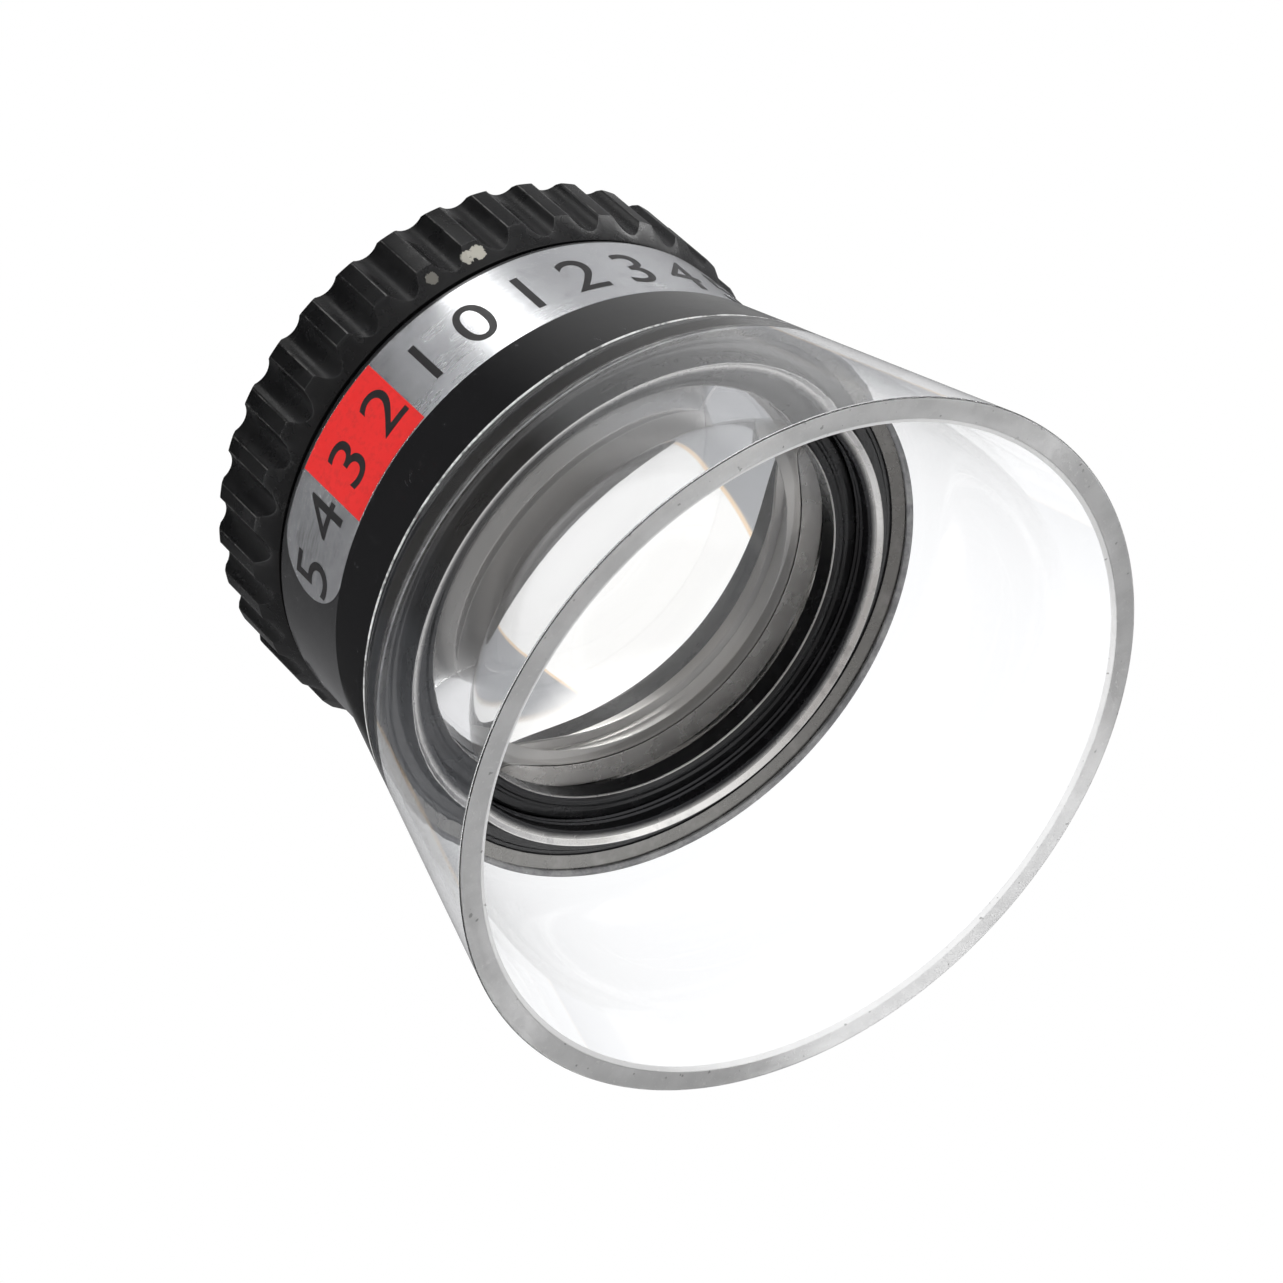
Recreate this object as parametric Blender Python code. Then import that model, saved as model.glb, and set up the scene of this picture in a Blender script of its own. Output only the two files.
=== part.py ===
"""Viewing loupe that stands on a clear conical skirt, with a knurled ring that focuses its lens cell.

Frame: metres, +Z is the optical axis and points at the eye. The origin is the centre of the
skirt's rim, so the rim face lies in z = 0 and the loupe stands upright on it. The label is at the
front, -Y. Turned pieces are given as closed (radius, height) profiles in millimetres and spun
about Z; MM turns millimetres into metres.
"""
import math

import bmesh
import bpy
from mathutils import Matrix, Vector

MM = 0.001
GAP = 0.3                    # running and resting clearance between neighbours

# ------------------------------------------------------------------ driving dimensions (mm)
SEG = 48                     # steps of a turned piece
RIM_R = 22.0                 # skirt, outer radius at the rim
RIM_INNER_R = 20.42
CONE_SLOPE = 0.2294          # outer cone, radius lost per mm of height (skirt and collar share it)
RIM_EDGE = 0.25              # break on the rim's edges
SKIRT_TOP_Z = 16.9
SEAT_R = 17.3                # bore at the skirt's top, over the barrel's spigot
SEAT_Z = 15.5

SPIGOT_R = SEAT_R - GAP
SPIGOT_Z = 15.9
COLLAR_Z0 = SKIRT_TOP_Z + GAP
COLLAR_Z1 = 22.5
LABEL_SEAT_R = 16.0
NECK_R = 15.0
NECK_Z0 = 29.8
NECK_Z1 = 32.0
BARREL_BORE_R = 15.35        # over the wide end of the cell
BARREL_GUIDE_R = 13.5        # over the narrow end of the cell
BARREL_STEP_Z = 23.0
CLIP_Z = 31.12               # snap wire, centre height
CLIP_R = 15.15
CLIP_WIRE_R = 0.35
ORING_Z = 24.0
ORING_R = 13.85
ORING_WIRE_R = 0.3

LABEL_Z0 = 23.0
LABEL_Z1 = 29.4
LABEL_R0 = LABEL_SEAT_R + GAP
LABEL_R1 = LABEL_R0 + 0.18
LABEL_MID_DEG = -90.0
LABEL_HALF_DEG = 67.0

RING_Z0 = 30.1               # knurled ring
RING_Z1 = 36.0
RING_LAND_R = 17.15          # lands between the flutes
RING_LAND_DEG = 3.2
RING_RIBS = 35
RIB_PHASE_DEG = -78.8        # azimuth of one land's middle
FLUTE_DEPTH = 0.58
RING_FOOT_R = 16.3           # steep chamfer below the lands
RING_FOOT_SLOPE = 0.55
RING_TOP_R = 16.82
RING_FLANGE_Z = 32.9
RING_FLANGE_R = 13.5

CELL_R = 15.05               # wide end of the lens cell
CELL_NARROW_R = 13.2
CELL_Z0 = 15.1
CELL_STEP_Z = 21.4
CELL_Z1 = 34.3
CELL_RECESS_R = 14.3
FIELD_BORE_R = 13.6
EYE_BORE_R = 11.9
FIELD_SHOULDER_Z = 20.15     # conical seat of the field lens

FIELD_LENS_R = 13.3
FIELD_EDGE_Z0, FIELD_EDGE_Z1 = 18.4, 19.8
FIELD_BOTTOM_CURVE, FIELD_TOP_CURVE = 50.0, 24.0
EYE_LENS_R = 11.6
EYE_EDGE_Z0, EYE_EDGE_Z1 = 27.3, 28.6
EYE_BOTTOM_CURVE, EYE_TOP_CURVE = 24.0, 60.0

GUIDE_Z = 27.6               # guide screws, under the label
GUIDE_DEGS = (-135.0, -45.0)
TRAVEL_DOWN, TRAVEL_UP = 0.75, 1.25


def cone_r(z):
    """Radius of the outer cone at height z."""
    return RIM_R - CONE_SLOPE * z


# ------------------------------------------------------------------ scene start
for old in list(bpy.data.objects):
    bpy.data.objects.remove(old, do_unlink=True)


def material(name, colour, rough, metal=0.0, transmission=0.0):
    mat = bpy.data.materials.new(name)
    mat.use_nodes = True
    shader = mat.node_tree.nodes["Principled BSDF"]
    shader.inputs["Base Color"].default_value = (*colour, 1.0)
    shader.inputs["Roughness"].default_value = rough
    shader.inputs["Metallic"].default_value = metal
    shader.inputs["Transmission Weight"].default_value = transmission
    mat.diffuse_color = (*colour, 1.0)
    mat.roughness = rough
    mat.metallic = metal
    return mat


def empty(name, z):
    obj = bpy.data.objects.new(name, None)
    obj.empty_display_size = 0.004
    obj.location = (0.0, 0.0, z * MM)
    bpy.context.scene.collection.objects.link(obj)
    return obj


ring_axis = empty("focus_ring_axis", RING_Z0)
cell_axis = empty("lens_cell_axis", CELL_Z0)
bpy.context.view_layer.update()


def finish(name, bm, mat, parent=None):
    """Turn a bmesh, given in world metres, into a named object whose origin is on its joint axis."""
    bmesh.ops.remove_doubles(bm, verts=bm.verts, dist=1e-7)
    bmesh.ops.recalc_face_normals(bm, faces=bm.faces)
    if bm.calc_volume(signed=True) < 0:
        bmesh.ops.reverse_faces(bm, faces=bm.faces)
    origin = parent.location.copy() if parent else Vector((0.0, 0.0, 0.0))
    bm.transform(Matrix.Translation(-origin))
    mesh = bpy.data.meshes.new(name)
    bm.to_mesh(mesh)
    bm.free()
    mesh.shade_smooth()
    mesh.set_sharp_from_angle(angle=math.radians(35.0))
    obj = bpy.data.objects.new(name, mesh)
    bpy.context.scene.collection.objects.link(obj)
    if parent:
        obj.parent = parent          # the empty sits at the origin subtracted above
    else:
        obj.location = (0.0, 0.0, 0.0)
    mesh.materials.append(mat)
    return obj


def turned(profile, seg=SEG, phase=0.0):
    """Spin a closed (radius, height) outline about Z. Points on the axis become single vertices."""
    bm = bmesh.new()
    rings = []
    for r, z in profile:
        if r < 1e-6:
            rings.append([bm.verts.new((0.0, 0.0, z * MM))])
            continue
        ring = []
        for i in range(seg):
            a = math.radians(phase) + 2.0 * math.pi * i / seg
            ring.append(bm.verts.new((r * MM * math.cos(a), r * MM * math.sin(a), z * MM)))
        rings.append(ring)
    closed = profile[0][0] > 1e-6 and profile[-1][0] > 1e-6
    pairs = list(zip(rings, rings[1:]))
    if closed:
        pairs.append((rings[-1], rings[0]))
    for low, high in pairs:
        for i in range(seg):
            j = (i + 1) % seg
            if len(low) == 1 and len(high) == 1:
                continue
            if len(low) == 1:
                bm.faces.new((low[0], high[j], high[i]))
            elif len(high) == 1:
                bm.faces.new((low[i], low[j], high[0]))
            else:
                bm.faces.new((low[i], low[j], high[j], high[i]))
    return bm


def cutter(name, bm):
    bmesh.ops.recalc_face_normals(bm, faces=bm.faces)
    if bm.calc_volume(signed=True) < 0:
        bmesh.ops.reverse_faces(bm, faces=bm.faces)
    mesh = bpy.data.meshes.new(name)
    bm.to_mesh(mesh)
    bm.free()
    obj = bpy.data.objects.new(name, mesh)
    bpy.context.scene.collection.objects.link(obj)
    obj.hide_render = True
    obj.display_type = "WIRE"
    return obj


def cut(obj, tool):
    mod = obj.modifiers.new("cut_" + tool.name, "BOOLEAN")
    mod.operation = "DIFFERENCE"
    mod.solver = "EXACT"
    mod.object = tool


def box_cutter(name, size, centre, azimuth_deg):
    """A box of size (radial, tangential, axial) mm with its centre at (radius, height), turned to azimuth."""
    bm = bmesh.new()
    bmesh.ops.create_cube(bm, size=1.0)
    bm.transform(Matrix.Diagonal((size[0] * MM, size[1] * MM, size[2] * MM, 1.0)))
    bm.transform(Matrix.Translation((centre[0] * MM, 0.0, centre[1] * MM)))
    bm.transform(Matrix.Rotation(math.radians(azimuth_deg), 4, "Z"))
    return cutter(name, bm)


def rod_cutter(name, radius, r0, r1, z, azimuth_deg, seg=16):
    """A round cutter that points outward along an azimuth, from radius r0 to r1."""
    bm = bmesh.new()
    bmesh.ops.create_cone(bm, cap_ends=True, cap_tris=False, segments=seg, radius1=radius * MM,
                          radius2=radius * MM, depth=(r1 - r0) * MM)
    bm.transform(Matrix.Rotation(math.radians(90.0), 4, "Y"))
    bm.transform(Matrix.Translation(((r0 + r1) * 0.5 * MM, 0.0, z * MM)))
    bm.transform(Matrix.Rotation(math.radians(azimuth_deg), 4, "Z"))
    return cutter(name, bm)


def torus_points(radius, z, wire_r, count, squash=1.0):
    """Outline of a wire's section, as a turned profile."""
    pts = []
    for i in range(count):
        a = 2.0 * math.pi * (i + 0.5) / count
        pts.append((radius + wire_r * math.cos(a), z + wire_r * squash * math.sin(a)))
    return pts


# ------------------------------------------------------------------ clear skirt
clear = material("clear_acrylic", (0.86, 0.88, 0.9), 0.04, 0.0, 0.9)
skirt_profile = [
    (RIM_INNER_R + RIM_EDGE, 0.0),
    (RIM_R - RIM_EDGE, 0.0),
    (RIM_R, RIM_EDGE),
    (cone_r(SKIRT_TOP_Z), SKIRT_TOP_Z),
    (SEAT_R, SKIRT_TOP_Z),
    (SEAT_R, SEAT_Z),
    (RIM_INNER_R, RIM_EDGE),
]
finish("clear_skirt", turned(skirt_profile), clear)

# ------------------------------------------------------------------ barrel
black_gloss = material("black_gloss_plastic", (0.012, 0.012, 0.013), 0.22)
clip_half = CLIP_WIRE_R + GAP
oring_half = ORING_WIRE_R + GAP
barrel_profile = [
    (BARREL_BORE_R + 0.2, SPIGOT_Z),
    (SPIGOT_R - 0.2, SPIGOT_Z),
    (SPIGOT_R, SPIGOT_Z + 0.2),
    (SPIGOT_R, COLLAR_Z0),
    (cone_r(COLLAR_Z0) - 0.12, COLLAR_Z0),
    (cone_r(COLLAR_Z0 + 0.12), COLLAR_Z0 + 0.12),
    (cone_r(COLLAR_Z1), COLLAR_Z1),
    (cone_r(COLLAR_Z1) - 0.15, COLLAR_Z1 + 0.15),
    (LABEL_SEAT_R, COLLAR_Z1 + 0.15),
    (LABEL_SEAT_R, NECK_Z0),
    (NECK_R, NECK_Z0),
    (NECK_R, CLIP_Z - clip_half),
    (NECK_R - 0.55, CLIP_Z - clip_half),
    (NECK_R - 0.55, CLIP_Z + clip_half),
    (NECK_R, CLIP_Z + clip_half),
    (NECK_R, NECK_Z1),
    (BARREL_GUIDE_R, NECK_Z1),
    (BARREL_GUIDE_R, ORING_Z + oring_half),
    (ORING_R + oring_half, ORING_Z + oring_half),
    (ORING_R + oring_half, ORING_Z - oring_half),
    (BARREL_GUIDE_R, ORING_Z - oring_half),
    (BARREL_GUIDE_R, BARREL_STEP_Z),
    (BARREL_BORE_R, BARREL_STEP_Z),
    (BARREL_BORE_R, SPIGOT_Z + 0.2),
]
barrel = finish("barrel", turned(barrel_profile), black_gloss)
for n, deg in enumerate(GUIDE_DEGS):
    cut(barrel, rod_cutter("guide_hole_%d" % n, 0.7 + GAP, BARREL_GUIDE_R - 1.0, LABEL_SEAT_R + 1.0, GUIDE_Z, deg))

# ------------------------------------------------------------------ label band
foil = material("label_foil", (0.62, 0.63, 0.65), 0.3, 0.9)


def label_band():
    """Foil strip wrapped on the barrel, its two ends rounded to the strip's half height."""
    mid_z = 0.5 * (LABEL_Z0 + LABEL_Z1)
    half = 0.5 * (LABEL_Z1 - LABEL_Z0)
    end_deg = math.degrees(half / LABEL_R1)
    stations = []
    steps_end, steps_mid = 7, 22
    for i in range(steps_end):
        k = 1.0 - math.cos(0.5 * math.pi * i / steps_end)
        stations.append((-LABEL_HALF_DEG + k * end_deg, half * math.sqrt(max(0.0, 1.0 - (1.0 - k) ** 2))))
    for i in range(steps_mid + 1):
        t = i / steps_mid
        stations.append((-LABEL_HALF_DEG + end_deg + t * 2.0 * (LABEL_HALF_DEG - end_deg), half))
    stations += [(-d, h) for d, h in reversed(stations[:steps_end])]
    bm = bmesh.new()
    columns = []
    for deg, h in stations:
        h = max(h, 0.2)
        a = math.radians(LABEL_MID_DEG + deg)
        column = []
        for r, z in ((LABEL_R0, mid_z - h), (LABEL_R1, mid_z - h), (LABEL_R1, mid_z + h), (LABEL_R0, mid_z + h)):
            column.append(bm.verts.new((r * MM * math.cos(a), r * MM * math.sin(a), z * MM)))
        columns.append(column)
    for a, b in zip(columns, columns[1:]):
        for i in range(4):
            j = (i + 1) % 4
            bm.faces.new((a[i], b[i], b[j], a[j]))
    bm.faces.new(columns[0])
    bm.faces.new(list(reversed(columns[-1])))
    return bm


finish("label_band", label_band(), foil)

# ------------------------------------------------------------------ snap wire that keeps the ring on the neck
spring_steel = material("spring_steel", (0.45, 0.45, 0.46), 0.3, 1.0)


def snap_wire(open_deg=24.0, steps=44, sides=8):
    bm = bmesh.new()
    start = math.radians(90.0 + open_deg * 0.5)
    sweep = math.radians(360.0 - open_deg)
    loops = []
    for i in range(steps + 1):
        a = start + sweep * i / steps
        loop = []
        for k in range(sides):
            b = 2.0 * math.pi * (k + 0.5) / sides
            r = CLIP_R + CLIP_WIRE_R * math.cos(b)
            loop.append(bm.verts.new((r * MM * math.cos(a), r * MM * math.sin(a),
                                      (CLIP_Z + CLIP_WIRE_R * math.sin(b)) * MM)))
        loops.append(loop)
    for a, b in zip(loops, loops[1:]):
        for k in range(sides):
            m = (k + 1) % sides
            bm.faces.new((a[k], b[k], b[m], a[m]))
    bm.faces.new(loops[0])
    bm.faces.new(list(reversed(loops[-1])))
    return bm


finish("snap_wire", snap_wire(), spring_steel)

# ------------------------------------------------------------------ O-ring that damps the cell
rubber = material("black_rubber", (0.02, 0.02, 0.02), 0.8)
finish("bore_o_ring", turned(torus_points(ORING_R, ORING_Z, ORING_WIRE_R, 8), seg=40), rubber)

# ------------------------------------------------------------------ washer between the neck and the ring's flange
ptfe = material("white_ptfe", (0.82, 0.82, 0.8), 0.5)
finish("thrust_washer", turned([
    (13.85, NECK_Z1 + GAP), (14.95, NECK_Z1 + GAP), (14.95, RING_FLANGE_Z - GAP), (13.85, RING_FLANGE_Z - GAP)]), ptfe)

# ------------------------------------------------------------------ guide screws in the barrel wall
steel = material("blackened_steel", (0.08, 0.08, 0.085), 0.4, 1.0)
for n, deg in enumerate(GUIDE_DEGS):
    # slotted grub screw with a plain tip that runs in the cell's slot; turned about Z, then laid radially
    tip, body_start, head = 12.75, 13.75, LABEL_SEAT_R - 0.15
    bm = turned([(0.0, 0.0), (0.5, 0.0), (0.5, body_start - tip), (0.7, body_start - tip + 0.15),
                 (0.7, head - tip - 0.1), (0.6, head - tip), (0.0, head - tip)], seg=16)
    bm.transform(Matrix.Rotation(math.radians(90.0), 4, "Y"))
    bm.transform(Matrix.Translation((tip * MM, 0.0, GUIDE_Z * MM)))
    bm.transform(Matrix.Rotation(math.radians(deg), 4, "Z"))
    screw = finish(("guide_screw_left", "guide_screw_right")[n], bm, steel)
    cut(screw, box_cutter("screw_slot_%d" % n, (0.9, 0.3, 2.0), (head, GUIDE_Z), deg))

# ------------------------------------------------------------------ knurled focus ring
black_satin = material("black_satin_plastic", (0.014, 0.014, 0.014), 0.38)


def ring_outline():
    """(azimuth in degrees, radius) of one pitch of the grip: a flat land, then a concave flute."""
    pitch = 360.0 / RING_RIBS
    half_land = 0.5 * RING_LAND_DEG
    half_flute = 0.5 * (pitch - RING_LAND_DEG)
    pts = [(-half_land, RING_LAND_R)]
    for k in (-1.0, -0.72, -0.26, 0.26, 0.72):
        depth = FLUTE_DEPTH * math.sqrt(1.0 - k * k)
        pts.append((0.5 * pitch + k * half_flute, RING_LAND_R - depth))
    return pts


def focus_ring():
    """Turned ring with concave flutes between narrow lands; a steep chamfer cuts the lands' lower ends."""
    clip0, clip1 = CLIP_Z - clip_half, CLIP_Z + clip_half
    bm = bmesh.new()
    columns = []
    for rib in range(RING_RIBS):
        for deg, outer in ring_outline():
            a = math.radians(RIB_PHASE_DEG + deg + 360.0 * rib / RING_RIBS)
            top = min(outer - 0.03, RING_TOP_R)
            outline = [
                (15.3, RING_Z0),
                (RING_FOOT_R, RING_Z0),
                (outer, RING_Z0 + (outer - RING_FOOT_R) / RING_FOOT_SLOPE),
                (outer, RING_Z1 - (outer - top)),
                (top, RING_Z1),
                (15.9, RING_Z1),
                (13.8, RING_Z1 - 0.75),
                (RING_FLANGE_R, RING_Z1 - 1.05),
                (RING_FLANGE_R, RING_FLANGE_Z),
                (15.3, RING_FLANGE_Z),
                (15.3, clip1),
                (15.85, clip1),
                (15.85, clip0),
                (15.3, clip0),
            ]
            columns.append([bm.verts.new((r * MM * math.cos(a), r * MM * math.sin(a), z * MM)) for r, z in outline])
    for a, b in zip(columns, columns[1:] + columns[:1]):
        for i in range(len(a)):
            j = (i + 1) % len(a)
            bm.faces.new((a[i], b[i], b[j], a[j]))
    return bm


finish("focus_ring", focus_ring(), black_satin, ring_axis)

# ------------------------------------------------------------------ lens cell
black_anodised = material("black_anodised_aluminium", (0.02, 0.02, 0.022), 0.35, 0.6)
cell_profile = [
    (CELL_RECESS_R + 0.4, CELL_Z0),
    (CELL_R - 0.1, CELL_Z0),
    (CELL_R, CELL_Z0 + 0.1),
    (CELL_R, CELL_STEP_Z),
    (CELL_NARROW_R, CELL_STEP_Z),
    (CELL_NARROW_R, CELL_Z1),
    (EYE_BORE_R + 0.75, CELL_Z1),
    (EYE_BORE_R, CELL_Z1 - 1.2),
    (EYE_BORE_R, FIELD_SHOULDER_Z + 1.1),
    (FIELD_BORE_R, FIELD_SHOULDER_Z),
    (FIELD_BORE_R, 18.2),
    (CELL_RECESS_R, 18.2),
    (CELL_RECESS_R, CELL_Z0 + 0.6),
]
cell = finish("lens_cell", turned(cell_profile), black_anodised, cell_axis)
slot_low = GUIDE_Z - TRAVEL_UP - 0.5 - GAP
slot_high = GUIDE_Z + TRAVEL_DOWN + 0.5 + GAP
for n, deg in enumerate(GUIDE_DEGS):
    cut(cell, box_cutter("cell_slot_%d" % n, (1.6, 1.0 + 2 * GAP, slot_high - slot_low),
                         (12.45 + 0.8, 0.5 * (slot_low + slot_high)), deg))

# ------------------------------------------------------------------ lenses
glass = material("crown_glass", (0.93, 0.95, 0.95), 0.02, 0.0, 0.95)


def sag(radius, curve):
    return curve - math.sqrt(curve * curve - radius * radius)


def lens(edge_r, z0, z1, bottom_curve, top_curve, steps=6, seg=40):
    """Biconvex lens: bottom cap up to the edge, short cylinder, top cap."""
    pts = []
    for i in range(steps + 1):
        r = edge_r * i / steps
        pts.append((r, z0 - sag(edge_r, bottom_curve) + sag(r, bottom_curve)))
    for i in range(steps, -1, -1):
        r = edge_r * i / steps
        pts.append((r, z1 + sag(edge_r, top_curve) - sag(r, top_curve)))
    return turned(pts, seg=seg)


finish("field_lens", lens(FIELD_LENS_R, FIELD_EDGE_Z0, FIELD_EDGE_Z1, FIELD_BOTTOM_CURVE, FIELD_TOP_CURVE), glass, cell_axis)
finish("eye_lens", lens(EYE_LENS_R, EYE_EDGE_Z0, EYE_EDGE_Z1, EYE_BOTTOM_CURVE, EYE_TOP_CURVE), glass, cell_axis)

# ------------------------------------------------------------------ spacer and aperture stop between the lenses
black_matte = material("black_matte_paint", (0.01, 0.01, 0.01), 0.7)
spacer_metal = material("spacer_metal", (0.42, 0.41, 0.40), 0.35, 0.6)
finish("lens_spacer", turned([
    (10.95, 21.55), (11.6, 21.55), (11.6, 26.6), (10.95, 26.6), (10.95, 25.2),
    (11.2, 25.2), (11.2, 23.3), (10.95, 23.3)]), spacer_metal, cell_axis)
finish("aperture_stop", turned([
    (10.3, 23.95), (10.4, 23.85), (10.85, 23.85), (10.85, 24.25), (10.4, 24.25), (10.3, 24.15)]), black_matte, cell_axis)

# ------------------------------------------------------------------ retaining rings: a plain pressed one below, a slotted one above
finish("field_retaining_ring", turned([
    (12.8, 16.75), (13.05, 16.5), (13.8, 16.5), (14.0, 16.7), (14.0, 17.95), (12.8, 17.95)]), black_gloss.copy(), cell_axis)
eye_ring = finish("eye_retaining_ring", turned([
    (10.2, 29.2), (11.6, 29.2), (11.6, 31.1), (11.45, 31.25), (10.9, 31.25), (10.2, 30.5)]), black_satin.copy(), cell_axis)
for n, deg in enumerate((0.0, 180.0)):
    cut(eye_ring, box_cutter("eye_spanner_%d" % n, (2.4, 1.3, 1.2), (10.9, 31.2), deg))
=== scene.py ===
"""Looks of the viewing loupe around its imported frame: clear acrylic skirt, black barrel and fluted focus ring,
foil band with a generic index scale, blackened lens cell with its retaining rings, and two lenses.
Profiles are (radius, height, fillet) in millimetres in the row frame; MM turns them into metres.
"""
import math

import bmesh
import bpy
from mathutils import Matrix, Vector


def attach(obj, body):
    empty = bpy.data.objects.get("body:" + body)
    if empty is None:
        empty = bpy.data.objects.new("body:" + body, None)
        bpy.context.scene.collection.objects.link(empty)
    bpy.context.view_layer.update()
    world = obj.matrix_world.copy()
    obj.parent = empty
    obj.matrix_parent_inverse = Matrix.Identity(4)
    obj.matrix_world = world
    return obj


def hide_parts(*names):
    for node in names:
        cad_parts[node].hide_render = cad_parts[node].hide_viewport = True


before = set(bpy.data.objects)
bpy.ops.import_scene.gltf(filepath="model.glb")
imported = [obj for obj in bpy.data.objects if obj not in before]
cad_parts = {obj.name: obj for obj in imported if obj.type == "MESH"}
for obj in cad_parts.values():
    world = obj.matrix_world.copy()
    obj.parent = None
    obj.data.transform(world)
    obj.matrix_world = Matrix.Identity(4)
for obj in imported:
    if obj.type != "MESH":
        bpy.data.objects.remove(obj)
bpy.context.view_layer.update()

MM = 0.001
RIM_R, RIM_INNER_R, CONE_SLOPE = 22.0, 20.42, 0.2294
SEAT_R, SEAT_Z, JOINT_Z = 17.3, 15.5, 17.2
RING_Z0, RING_Z1 = 30.1, 36.0
LAND_R, RIBS, RIB_PHASE = 17.15, 35, -78.8
FLUTE_DEPTH, FLUTE_R = 0.58, 1.18
FOIL_R = 16.46


def cone_r(z):
    return RIM_R - CONE_SLOPE * z


# ------------------------------------------------------------------ mesh helpers
def fillet(points, steps=5, closed=True):
    """Replace each corner (r, z, radius) by an arc of that radius; a corner without a radius stays sharp."""
    out = []
    n = len(points)
    for i, p in enumerate(points):
        rad = p[2] if len(p) > 2 else 0.0
        if rad <= 0.0 or (not closed and i in (0, n - 1)):
            out.append((p[0], p[1]))
            continue
        a, b, c = Vector(points[i - 1][:2]), Vector(p[:2]), Vector(points[(i + 1) % n][:2])
        u, v = (a - b).normalized(), (c - b).normalized()
        half = 0.5 * math.acos(max(-0.9999, min(0.9999, u.dot(v))))
        reach = min(rad / math.tan(half), 0.48 * (a - b).length, 0.48 * (c - b).length)
        r = reach * math.tan(half)
        centre = b + (u + v).normalized() * (r / math.sin(half))
        s, e = b + u * reach - centre, b + v * reach - centre
        total = s.angle_signed(e)
        for k in range(steps + 1):
            t = -total * k / steps
            w = Vector((s.x * math.cos(t) - s.y * math.sin(t), s.x * math.sin(t) + s.y * math.cos(t)))
            out.append((centre.x + w.x, centre.y + w.y))
    return out


def support(outline, reach=0.03):
    """Extra points close to both ends of each long run, so that its shading stays straight."""
    out = []
    for i, p in enumerate(outline):
        q = outline[(i + 1) % len(outline)]
        out.append(p)
        if p[0] < 1e-6 and q[0] < 1e-6:
            continue
        d = math.hypot(q[0] - p[0], q[1] - p[1])
        if d > 6.0 * reach:
            k = reach / d
            out.append((p[0] + (q[0] - p[0]) * k, p[1] + (q[1] - p[1]) * k))
            out.append((q[0] - (q[0] - p[0]) * k, q[1] - (q[1] - p[1]) * k))
    return out


def to_object(name, bm, materials, sharp=38.0):
    if bm.calc_volume(signed=True) < 0:
        bmesh.ops.reverse_faces(bm, faces=bm.faces)
    mesh = bpy.data.meshes.new(name)
    bm.to_mesh(mesh)
    bm.free()
    mesh.shade_smooth()
    mesh.set_sharp_from_angle(angle=math.radians(sharp))
    obj = bpy.data.objects.new(name, mesh)
    bpy.context.scene.collection.objects.link(obj)
    for m in materials:
        mesh.materials.append(m)
    return obj


def lathe_bm(outline, seg):
    """Closed outline spun about Z. Points on the axis become one vertex."""
    bm = bmesh.new()
    rings = []
    for r, z in outline:
        if r < 1e-6:
            rings.append([bm.verts.new((0.0, 0.0, z * MM))])
        else:
            rings.append([bm.verts.new((r * MM * math.cos(2 * math.pi * i / seg), r * MM * math.sin(2 * math.pi * i / seg), z * MM))
                          for i in range(seg)])
    pairs = list(zip(rings, rings[1:]))
    if outline[0][0] > 1e-6 and outline[-1][0] > 1e-6:
        pairs.append((rings[-1], rings[0]))
    for low, high in pairs:
        for i in range(seg):
            j = (i + 1) % seg
            if len(low) == 1 and len(high) == 1:
                break
            if len(low) == 1:
                bm.faces.new((low[0], high[j], high[i]))
            elif len(high) == 1:
                bm.faces.new((low[i], low[j], high[0]))
            else:
                bm.faces.new((low[i], low[j], high[j], high[i]))
    return bm


def lathe(name, points, materials, seg=256, steps=5, sharp=38.0):
    return to_object(name, lathe_bm(support(fillet(points, steps)), seg), materials, sharp)


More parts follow.
